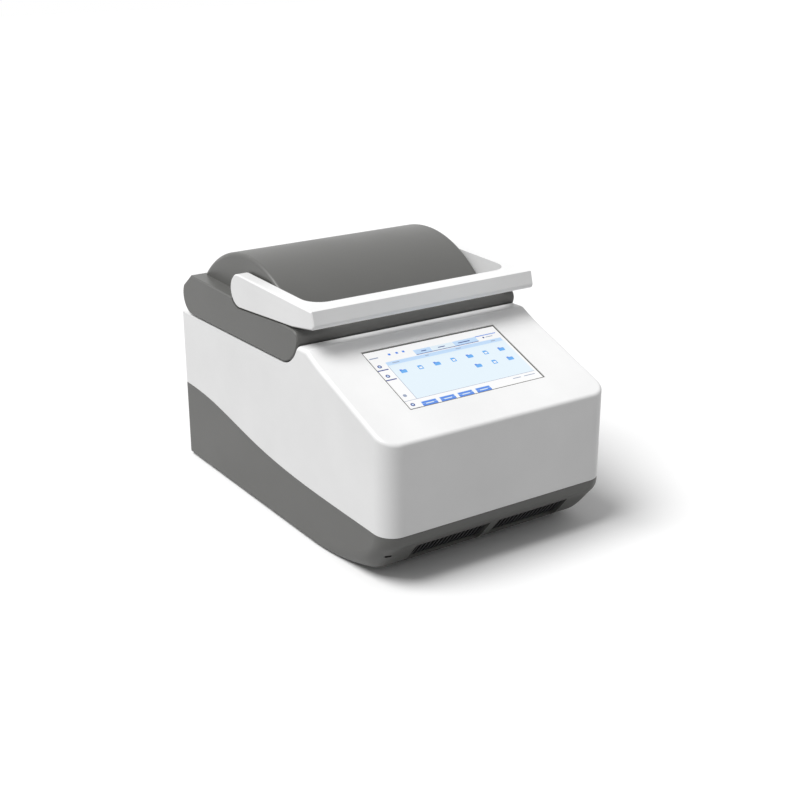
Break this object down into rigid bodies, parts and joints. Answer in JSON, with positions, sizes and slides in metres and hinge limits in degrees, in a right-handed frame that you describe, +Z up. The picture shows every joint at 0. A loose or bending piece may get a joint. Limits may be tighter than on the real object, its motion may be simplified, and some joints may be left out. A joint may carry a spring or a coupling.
{
  "type": "real-time pcr system",
  "caption": "Bench real-time PCR instrument: sloped front with touch screen, hinged lid with arched optics hood and lifting front handle, heated block and scanning optics inside.",
  "frame": {"origin": "on the plane the feet rest on, under the middle of the case's width and depth", "axes": "+X to the right seen from the front, +Y from the front to the rear, +Z up"},
  "size_m": [0.26, 0.4, 0.2537],
  "materials": {
    "grey_shell": "fine moulded texture",
    "white_shell": "fine moulded texture, satin",
    "dark_plastic": "moulded, unpainted",
    "rocker_plastic": "smooth",
    "foot_rubber": "matt",
    "steel": "zinc plated",
    "socket_metal": "plated shells",
    "screen_glass": "clear cover glass, lit from behind",
    "screen_frame": "dark frame",
    "aluminium": "bead blasted",
    "ceramic": "white ceramic faces",
    "circuit_board": "green solder mask",
    "component": "black packages",
    "lid_shell": "fine moulded texture",
    "lid_underside": "moulded",
    "white_handle": "fine moulded texture, satin",
    "bearing_plastic": "natural bearing plastic",
    "heater_foil": "amber film",
    "optics_housing": "matt black against stray light"
  },
  "bodies": {
    "base": {"base_tray": "grey_shell", "upper_housing": "white_shell", "front_grille": "dark_plastic", "rubber_feet": "foot_rubber", "case_screws": "steel", "display_gasket": "dark_plastic", "touch_glass": "screen_glass", "display_panel": "screen_frame", "display_board": "circuit_board", "sample_block": "aluminium", "block_collar": "dark_plastic", "peltier_modules": "ceramic", "heat_sink": "aluminium", "chassis": "steel", "cooling_fan_frame": "dark_plastic", "exhaust_fan_frames": "dark_plastic", "rear_panel": "steel", "power_inlet": "dark_plastic", "switch_frame": "dark_plastic", "data_sockets": "socket_metal", "main_board": "circuit_board", "driver_board": "circuit_board", "board_parts": "component", "power_supply": "steel", "hinge_brackets": "steel", "hinge_pins": "steel"},
    "cooling_rotor": {"cooling_rotor": "dark_plastic"},
    "exhaust_rotor_left": {"exhaust_rotor_left": "dark_plastic"},
    "exhaust_rotor_right": {"exhaust_rotor_right": "dark_plastic"},
    "switch_rocker": {"switch_rocker": "rocker_plastic"},
    "lid": {"lid_cover": "lid_shell", "lid_base": "lid_underside", "lid_knuckles": "steel", "lid_screws": "steel", "pivot_bushes": "bearing_plastic", "return_springs": "steel", "optics_plate": "aluminium", "scan_rails": "steel", "scan_motor": "screen_frame", "scan_belt": "dark_plastic"},
    "handle": {"lid_handle": "white_handle", "handle_shafts": "steel"},
    "pressure_plate": {"heated_plate": "aluminium", "plate_heater": "heater_foil", "plate_carrier": "aluminium"},
    "carriage": {"scan_carriage": "optics_housing", "scan_lenses": "optics_housing", "detector_board": "circuit_board"},
    "motor_pulley": {"motor_pulley": "bearing_plastic"},
    "idler_pulley": {"idler_pulley": "bearing_plastic"}
  },
  "joints": [
    {"name": "lid_hinge", "type": "hinge", "parent": "base", "child": "lid", "pos_m": [0, 0.1775, 0.189], "axis": [-1, 0, 0], "range_deg": [0, 75]},
    {"name": "handle_lift", "type": "hinge", "parent": "lid", "child": "handle", "pos_m": [0, 0.0668, 0.2217], "axis": [-1, 0, 0], "range_deg": [0, 55]},
    {"name": "plate_press", "type": "slide", "parent": "lid", "child": "pressure_plate", "axis": [0, 0, 1], "range_m": [0, 0.003], "deforming": ["return_springs"]},
    {"name": "optics_scan", "type": "slide", "parent": "lid", "child": "carriage", "axis": [1, 0, 0], "range_m": [-0.0315, 0.0315]},
    {"name": "motor_pulley_turn", "type": "hinge", "parent": "lid", "child": "motor_pulley", "pos_m": [-0.07, 0.135, 0.2113], "axis": [0, 0, 1], "range_deg": [-283, 283]},
    {"name": "idler_pulley_turn", "type": "hinge", "parent": "lid", "child": "idler_pulley", "pos_m": [0.07, 0.135, 0.2113], "axis": [0, 0, 1], "range_deg": [-283, 283]},
    {"name": "power_rocker", "type": "hinge", "parent": "base", "child": "switch_rocker", "pos_m": [0.02, 0.194, 0.045], "axis": [-1, 0, 0], "range_deg": [0, 16]},
    {"name": "cooling_fan_spin", "type": "hinge", "parent": "base", "child": "cooling_rotor", "pos_m": [0, 0.08, 0.083], "axis": [0, 0, 1], "continuous": true},
    {"name": "exhaust_fan_left_spin", "type": "hinge", "parent": "base", "child": "exhaust_rotor_left", "pos_m": [-0.05, 0.19, 0.127], "axis": [0, 1, 0], "continuous": true},
    {"name": "exhaust_fan_right_spin", "type": "hinge", "parent": "base", "child": "exhaust_rotor_right", "pos_m": [0.05, 0.19, 0.127], "axis": [0, 1, 0], "continuous": true}
  ],
  "couplings": [
    {"joint": "plate_press", "follows": "handle_lift", "m_per_rad": 0.003125},
    {"joint": "motor_pulley_turn", "follows": "optics_scan", "rad_per_m": 156.25},
    {"joint": "idler_pulley_turn", "follows": "optics_scan", "rad_per_m": 156.25}
  ]
}
